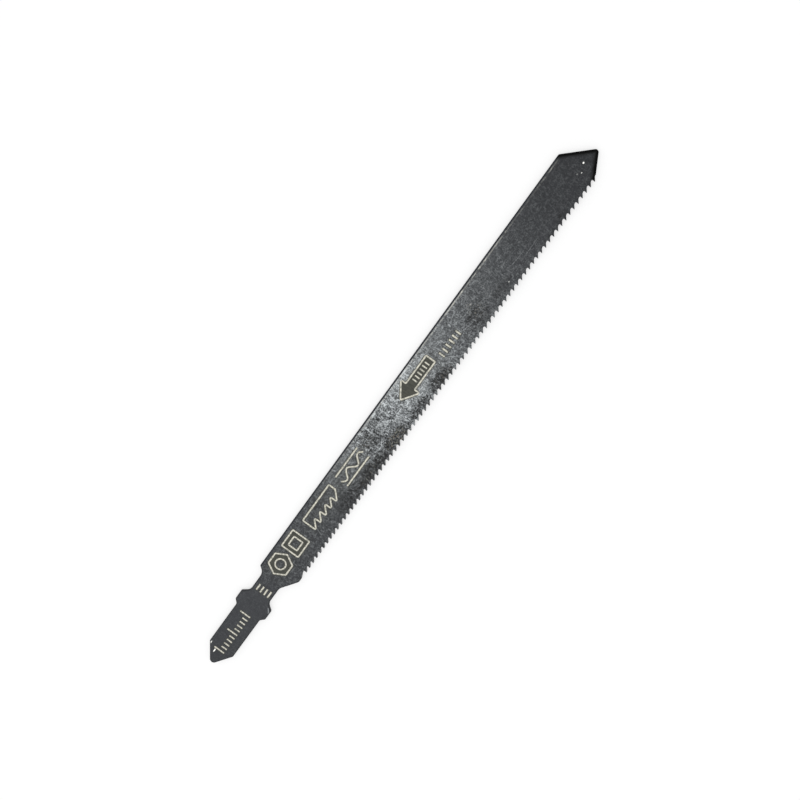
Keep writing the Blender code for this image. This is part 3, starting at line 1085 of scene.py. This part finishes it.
blade = plate("blade", [blank_outline], -THICKNESS / 2, THICKNESS / 2)
for finish in FINISHES:
    blade.data.materials.append(finish)
for polygon in blade.data.polygons:
    polygon.material_index = FINISHES.index(face if is_flat(polygon) else rim)
print("the plate has", len(blade.data.polygons), "faces")

# %% [markdown]
# ## The rolled rim
#
# Blanking pulls the sheet's corner down before it shears, which leaves a small round all along both
# rims. A Bevel modifier rolls it. Edge weights choose the rims, and leave out the uprights and the
# straight lower edge, which the milling cutter takes away. The new faces get the rim's finish.

# %% Roll the rim
def roll_rim(piece):
    mesh = piece.data
    weights = mesh.attributes.new("bevel_weight_edge", "FLOAT", "EDGE")
    for edge in mesh.edges:
        a, b = (mesh.vertices[i].co for i in edge.vertices)
        upright = abs(a.z - b.z) > WELD_DISTANCE
        uncut = min(a.y, b.y) < UNCUT_Y + WELD_DISTANCE and abs(a.x - b.x) < WELD_DISTANCE
        uncut = uncut or max(a.y, b.y) < UNCUT_Y + WELD_DISTANCE
        weights.data[edge.index].value = 0.0 if upright or uncut else 1.0
    modify(
        piece,
        "BEVEL",
        limit_method="WEIGHT",
        width=RIM_ROUNDING,
        segments=RIM_SEGMENTS,
        use_clamp_overlap=False,
        material=FINISHES.index(rim),
    )


roll_rim(blade)
print("with its rim rolled the blade has", len(blade.data.polygons), "faces")

# %% [markdown]
# ## The tooth row
#
# A gang of milling cutters mills every gullet alike, so the row is one cutter's profile repeated at
# the pitch. That is work for Geometry Nodes: the profile is drawn once, and a tree sets a copy at
# every pitch, with the number of teeth, the pitch and the finish as named inputs. Realize Instances
# makes the copies real, so that a Boolean can cut with them.

# %% Helpers that build and run a tree on a mesh
def mesh_tree(name, inputs):
    """A tree that takes a geometry and these inputs, and gives a geometry."""
    return new_tree(name, "GeometryNodeTree", {"Geometry": "Geometry", **inputs}, "Geometry")


def end_in_mesh(tree, made, finish=None):
    """Ends a tree in what this node gives, made real, with its finish."""
    whole = Output(node("GeometryNodeRealizeInstances", {0: Output(made)}))
    if finish is not None:
        whole = Output(node("GeometryNodeSetMaterial", {"Geometry": whole, "Material": finish}))
    end_tree(tree, whole)


def run_tree(piece, tree, inputs):
    """Gives a piece the plain mesh that the tree makes of it."""
    modifier = piece.modifiers.new(tree.name, "NODES")
    modifier.node_group = tree
    for socket in tree.interface.items_tree:
        if socket.in_out == "INPUT" and socket.name in inputs:
            modifier[socket.identifier] = inputs[socket.name]
    piece.data = plain_mesh(piece)
    piece.modifiers.remove(modifier)


print("mesh tree helpers ready")

# %% The profile of one gullet
def gullet(start_x, start_y, tooth_x, back_angle):
    """The gap before a tooth: up the back of the tooth before it, round the gullet in two arcs and
    down the tooth's cutting face."""
    face_turn = pi / 2 + TOOTH_RAKE
    bottom_x = tooth_x + TOOTH_DEPTH * tan(TOOTH_RAKE) - GULLET_RADIUS * tan(face_turn / 2)
    spare_run = bottom_x - start_x - (GULLETS_Y - start_y) / tan(back_angle)
    back_radius = max(spare_run / tan(back_angle / 2), GULLET_RADIUS)
    points = [Vector((start_x, start_y))]
    back_steps = ceil(back_angle / ARC_STEP)
    for step in range(back_steps + 1):
        slope = back_angle * (1 - step / back_steps)
        x = bottom_x - back_radius * sin(slope)
        points.append(Vector((x, GULLETS_Y - back_radius * (1 - cos(slope)))))
    face_steps = ceil(face_turn / GULLET_STEP)
    for step in range(1, face_steps + 1):
        slope = face_turn * step / face_steps
        x = bottom_x + GULLET_RADIUS * sin(slope)
        points.append(Vector((x, GULLETS_Y - GULLET_RADIUS * (1 - cos(slope)))))
    points.append(Vector((tooth_x, TIPS_Y)))
    return points


def gullet_profile():
    """One gullet, closed a little below the tooth tips."""
    second_tooth = FIRST_TOOTH + TOOTH_PITCH
    points = gullet(FIRST_TOOTH + TOOTH_LAND, TIPS_Y, second_tooth, TOOTH_BACK_ANGLE)
    below = TIPS_Y - CUTTER_MARGIN / 4
    return points + [Vector((second_tooth, below)), Vector((FIRST_TOOTH + TOOTH_LAND, below))]


def trimming_profile():
    """The gap after the heel, and all that lies below the tooth tips."""
    bottom_y = TIPS_Y - CUTTER_MARGIN
    heel_x = HEEL_END - (HEEL_Y - bottom_y) / tan(HEEL_GAP_ANGLE)
    past_tip_x = LENGTH + CUTTER_MARGIN
    points = gullet(heel_x, bottom_y, FIRST_TOOTH, HEEL_GAP_ANGLE)
    return points + [Vector((past_tip_x, TIPS_Y)), Vector((past_tip_x, bottom_y))]


GULLET_COUNT = ceil((front_slope_x(GULLETS_Y) - FIRST_TOOTH) / TOOTH_PITCH)
print(GULLET_COUNT, "gullets of", len(gullet_profile()), "points each")

# %% A tree that repeats a shape along a line
def row_tree():
    inputs = {"Count": "Int", "Step": "Vector", "Finish": "Material"}
    tree, given = mesh_tree("row_of_copies", inputs)
    line = node("GeometryNodeMeshLine", {"Count": given["Count"], "Offset": given["Step"]})
    shapes = {"Points": Output(line), "Instance": given["Geometry"]}
    end_in_mesh(tree, node("GeometryNodeInstanceOnPoints", shapes), given["Finish"])
    return tree


ROW = row_tree()
print("row tree with", len(ROW.nodes), "nodes")

# %% Mill the teeth
def cut(piece, cutter):
    """Takes the cutter out of the piece. The cut faces get the cutter's finish."""
    exact = {"solver": "EXACT", "material_mode": "TRANSFER"}
    modify(piece, "BOOLEAN", operation="DIFFERENCE", object=cutter, **exact)
    bpy.data.objects.remove(cutter)


HALF_CUTTER = THICKNESS / 2 + CUTTER_MARGIN
trimmer = plate("trimmer", [trimming_profile()], -HALF_CUTTER, HALF_CUTTER)
trimmer.data.materials.append(milled)
cut(blade, trimmer)
gullets = plate("gullets", [gullet_profile()], -HALF_CUTTER, HALF_CUTTER)
row_step = Vector((TOOTH_PITCH, 0.0, 0.0))
run_tree(gullets, ROW, {"Count": GULLET_COUNT, "Step": row_step, "Finish": milled})
cut(blade, gullets)
print("with its teeth milled the blade has", len(blade.data.polygons), "faces")

# %% [markdown]
# ## The wavy set
#
# Fine teeth are set in a wave: the edge is pressed to the left and to the right in turn, so that the
# cut is wider than the sheet and the blade doesn't bind. The strip above the teeth is first divided
# into small cells, because only vertices can move, and then a tree moves each vertex by one formula
# of its place. The inputs are the sizes that a toolmaker would name.

# %% Divide the strip that bends
def divide(work, faces, spot_on_plane, normal):
    """Adds edges where the plane meets these faces."""
    around = {item for face in faces for item in (*face.verts, *face.edges, face)}
    bmesh.ops.bisect_plane(
        work, geom=list(around), dist=WELD_DISTANCE, plane_co=spot_on_plane, plane_no=normal
    )


def bending_faces(work):
    return [face for face in work.faces if max(v.co.y for v in face.verts) < BEND_Y + WELD_DISTANCE]


def crosses(face, x):
    across = [vert.co.x for vert in face.verts]
    return min(across) < x < max(across)


def divide_strip(piece):
    """Rows along the strip on both faces, columns across it, and triangles below the bend line."""
    work = bmesh.new()
    work.from_mesh(piece.data)
    bmesh.ops.remove_doubles(work, verts=work.verts, dist=WELD_DISTANCE)
    for row in range(SET_ROWS):
        y = BEND_Y + (GULLETS_Y - BEND_Y) * row / SET_ROWS
        divide(work, [face for face in work.faces if is_flat(face)], (0.0, y, 0.0), (0.0, 1.0, 0.0))
    step = TOOTH_PITCH / COLUMNS_PER_TOOTH
    first_x = FIRST_TOOTH - TOOTH_PITCH + TOOTH_LAND + step / 2
    for column in range(ceil((front_slope_x(GULLETS_Y) - first_x) / step)):
        x = first_x + column * step
        crossed = [face for face in bending_faces(work) if is_flat(face) and crosses(face, x)]
        divide(work, crossed, (x, 0.0, 0.0), (1.0, 0.0, 0.0))
    bmesh.ops.triangulate(work, faces=bending_faces(work))
    work.to_mesh(piece.data)
    work.free()


divide_strip(blade)
print("with its edge divided the blade has", len(blade.data.polygons), "faces")

# %% A tree that bends the edge in a wave
SET_SIZES = {
    "Bend line": BEND_Y,
    "Set height": SET_HEIGHT,
    "Offset": SET_OFFSET,
    "Wave length": SET_WAVE_TEETH * TOOTH_PITCH,
    "Start": FIRST_TOOTH - TOOTH_PITCH,
    "End": front_slope_x(GULLETS_Y),
    "Fade": SET_FADE_TEETH * TOOTH_PITCH,
}


def wavy_set_tree():
    tree, given = mesh_tree("wavy_set", dict.fromkeys(SET_SIZES, "Float"))
    x, y = separated(Output(node("GeometryNodeInputPosition", {}, tree)))[:2]
    below = most([(given["Bend line"] - y) / given["Set height"], 0.0])
    run = x - given["Start"]
    inside = least([run, given["End"] - x]) / given["Fade"]
    wave = maths("SINE", run * (2 * pi) / given["Wave length"]) * given["Offset"]
    lift = below * below * rise(inside, 0.0, 1.0) * wave
    offset = Output(node("ShaderNodeCombineXYZ", {"Z": lift}))
    inputs = {"Geometry": given["Geometry"], "Offset": offset}
    end_in_mesh(tree, node("GeometryNodeSetPosition", inputs))
    return tree


WAVY_SET = wavy_set_tree()
run_tree(blade, WAVY_SET, SET_SIZES)
blade.data.transform(Matrix.Translation(PATTERN_TO_FRAME))
heights = [vertex.co.z / MM for vertex in blade.data.vertices]
print("the set blade stands", round(min(heights), 3), "to", round(max(heights), 3), "mm high")

# %% [markdown]
# ## Etched signs
#
# The blade carries plain shop signs: a rule on the shank, a nut, a square tube and a saw on the body,
# the wave of its set between two lines, and an arrow for the cut. Each is a shallow recess and not
# paint, as etching leaves it. Rows of bars come from the row tree, and every outline is a bent line
# that a second tree sweeps with a small square section. The acid creeps a little to both sides of a
# line, so each is cut twice: first wide, shallow and dark, then narrow, deeper and pale.

# %% Sizes of the signs
ETCH_DEPTH = 0.03 * MM
GROUND_DEPTH = 0.012 * MM
CREEP_DEPTH = 0.006 * MM
STROKE = 0.32 * MM
CREEP = 0.58 * MM  # how wide the dark ground beside a line is, both sides and the line together
STROKE_CORNER = 0.20 * MM
CREEP_CORNER = 0.34 * MM


def on_face(along, depth):
    """A place on the upper face, from millimetres along the blade and below the back edge."""
    return Vector((low.x + along * MM, BACK_Y - depth * MM))


print("signs are etched", round(ETCH_DEPTH / MM, 3), "mm deep")

# %% A tree that sweeps a stroke along lines
def stroke_tree():
    inputs = {"Width": "Float", "Height": "Float", "Finish": "Material"}
    tree, given = mesh_tree("etched_strokes", inputs)
    curves = node("GeometryNodeMeshToCurve", {0: given["Geometry"]})
    upright = node("GeometryNodeSetCurveNormal", {0: Output(curves)}, mode="Z_UP")
    section = {"Width": given["Width"], "Height": given["Height"]}
    bar = node("GeometryNodeCurvePrimitiveQuadrilateral", section)
    sweep = {"Curve": Output(upright), "Profile Curve": Output(bar), "Fill Caps": True}
    end_in_mesh(tree, node("GeometryNodeCurveToMesh", sweep), given["Finish"])
    return tree


STROKES = stroke_tree()


def strokes(name, line, closed, width, depth, finish):
    """A closed or an open line on the upper face, swept with a section of this width and depth."""
    points = [(place.x, place.y, UPPER_Z) for place in line]
    edges = [(i, i + 1) for i in range(len(points) - 1)]
    if closed:
        edges.append((len(points) - 1, 0))
    mesh = bpy.data.meshes.new(name)
    mesh.from_pydata(points, edges, [])
    made = new_object(name, mesh)
    run_tree(made, STROKES, {"Width": width, "Height": 2 * depth, "Finish": finish})
    return made


print("stroke tree with", len(STROKES.nodes), "nodes")

# %% The outlines of the signs
CIRCLE_POINTS = 48


def regular(along, depth, radius, count):
    """The corners of a regular figure, or of a circle if there are many."""
    turns = [2 * pi * i / count for i in range(count)]
    return [(along - radius * cos(turn), depth - radius * sin(turn)) for turn in turns]


def square(along, depth, half):
    west, east, top, bottom = along - half, along + half, depth - half, depth + half
    return [(west, top), (east, top), (east, bottom), (west, bottom)]


def saw(start_along, end_along, back_depth, root_depth, tip_depth, pitch):
    """A plain saw blade: a straight back, and teeth that drop straight and slope back up."""
    corners = [(start_along, back_depth), (end_along, back_depth), (end_along, root_depth)]
    for i in reversed(range(round((end_along - start_along) / pitch))):
        along = start_along + i * pitch
        corners += [(along, tip_depth), (along, root_depth)]
    return corners[:-1]


def softened(corners, radius):
    """A closed outline through (along, depth) corners, all rounded alike."""
    return rounded([(*on_face(*corner), radius) for corner in corners])


def waving(start_along, end_along, middle_depth, height, length):
    """An open line that rises and falls, drawn as finely as a circle of its height."""
    run = end_along - start_along
    count = round(run / length * CIRCLE_POINTS / 2)
    steps = [run * i / count for i in range(count + 1)]
    depths = [middle_depth + height * sin(2 * pi * step / length) for step in steps]
    return [on_face(start_along + step, depth) for step, depth in zip(steps, depths)]


nut = regular(27.0, 3.3, 2.55, 6)
nut_hole = regular(27.0, 3.3, 1.15, CIRCLE_POINTS)
tube = square(32.6, 3.3, 2.1)
tube_hole = square(32.6, 3.3, 1.1)
saw_sign = saw(37.6, 47.1, 1.7, 3.3, 5.1, 1.9)
arrow = [(70.2, 3.3), (73.6, 1.0), (73.6, 2.2), (80.6, 2.2), (80.6, 4.4), (73.6, 4.4), (73.6, 5.6)]
closed_signs = [nut, nut_hole, tube, tube_hole, saw_sign, arrow]
open_signs = [
    waving(49.2, 57.0, 3.4, 0.75, 3.9),
    [on_face(49.2, 1.9), on_face(57.0, 1.9)],
    [on_face(49.2, 4.9), on_face(57.0, 4.9)],
]
print(len(closed_signs), "closed outlines and", len(open_signs), "open lines")

# %% Rows of bars
ROWS_OF_BARS = [  # start along, top depth, width, length, step along, step down, count
    (3.2, 2.3, 0.30, 2.5, 5.0, 0.0, 3),
    (4.2, 3.5, 0.30, 1.3, 1.0, 0.0, 4),
    (9.2, 3.5, 0.30, 1.3, 1.0, 0.0, 4),
    (19.3, 2.2, 1.5, 0.34, 0.0, 0.95, 4),
    (75.0, 2.75, 0.30, 1.1, 0.85, 0.0, 6),
    (82.4, 4.0, 0.34, 1.3, 1.1, 0.0, 6),
]


def bars(name, row, spread, depth, finish):
    """A row of like bars, each a small block, spread to all sides, that the row tree repeats."""
    start_along, top_depth, width, length, step_along, step_down, count = row
    west, east = start_along - spread, start_along + width + spread
    top, bottom = top_depth - spread, top_depth + length + spread
    outline = [on_face(west, top), on_face(west, bottom), on_face(east, bottom), on_face(east, top)]
    made = plate(name, [outline], UPPER_Z - depth, UPPER_Z + depth)
    step = Vector((step_along, -step_down, 0.0)) * MM
    run_tree(made, ROW, {"Count": count, "Step": step, "Finish": finish})
    return made


print(sum(row[-1] for row in ROWS_OF_BARS), "bars in", len(ROWS_OF_BARS), "rows")

# %% Etch them
def etch_lines(piece, width, corner, depth, finish):
    """Every outline, open line and row of bars, with a stroke of this width."""
    lines = [(softened(corners, corner), True) for corners in closed_signs]
    lines += [(line, False) for line in open_signs]
    for i, (line, closed) in enumerate(lines):
        cut(piece, strokes(f"line_{i}", line, closed, width, depth, finish))
    spread = (width - STROKE) / 2 / MM
    for i, row in enumerate(ROWS_OF_BARS):
        cut(piece, bars(f"bars_{i}", row, spread, depth, finish))


def etch(piece):
    etch_lines(piece, CREEP, CREEP_CORNER, CREEP_DEPTH, etched_ground)
    for i, signs in enumerate([[nut, nut_hole], [tube, tube_hole], [arrow]]):
        outlines = [softened(corners, STROKE_CORNER) for corners in signs]
        ground = plate(f"ground_{i}", outlines, UPPER_Z - GROUND_DEPTH, UPPER_Z + GROUND_DEPTH)
        ground.data.materials.append(etched_ground)
        cut(piece, ground)
    etch_lines(piece, STROKE, STROKE_CORNER, ETCH_DEPTH, etched_line)


etch(blade)
print("with its signs etched the blade has", len(blade.data.polygons), "faces")

# %% [markdown]
# ## Shading
#
# A rolled rim beside a wide flat face shades badly if every vertex averages its faces: the flat looks
# like a pillow. Weighted normals give the say to the largest face at a vertex, so the flats stay flat
# and all of the turn is left to the rim. Edges sharper than a set angle stay crisp.

# %% Smooth the rim, keep the flats
SHARP_ANGLE = radians(35.0)


def shade(piece):
    mesh = piece.data
    mesh.shade_smooth()
    mesh.set_sharp_from_angle(angle=SHARP_ANGLE)
    modify(piece, "WEIGHTED_NORMAL", mode="FACE_AREA", weight=100, keep_sharp=True)
    piece.data.name = piece.name


shade(blade)
used = {polygon.material_index for polygon in blade.data.polygons}
print("finishes in use:", [blade.data.materials[index].name for index in sorted(used)])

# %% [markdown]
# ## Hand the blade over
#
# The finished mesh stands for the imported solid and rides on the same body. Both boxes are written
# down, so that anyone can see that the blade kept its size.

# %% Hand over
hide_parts(NODE)
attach(blade, "root")
floor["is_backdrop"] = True
visual_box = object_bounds()
triangles = sum(len(polygon.vertices) - 2 for polygon in blade.data.polygons)
measured = [round(side / MM, 3) for side in visual_box[1] - visual_box[0]]
print(triangles, "triangles, box", measured, "mm")
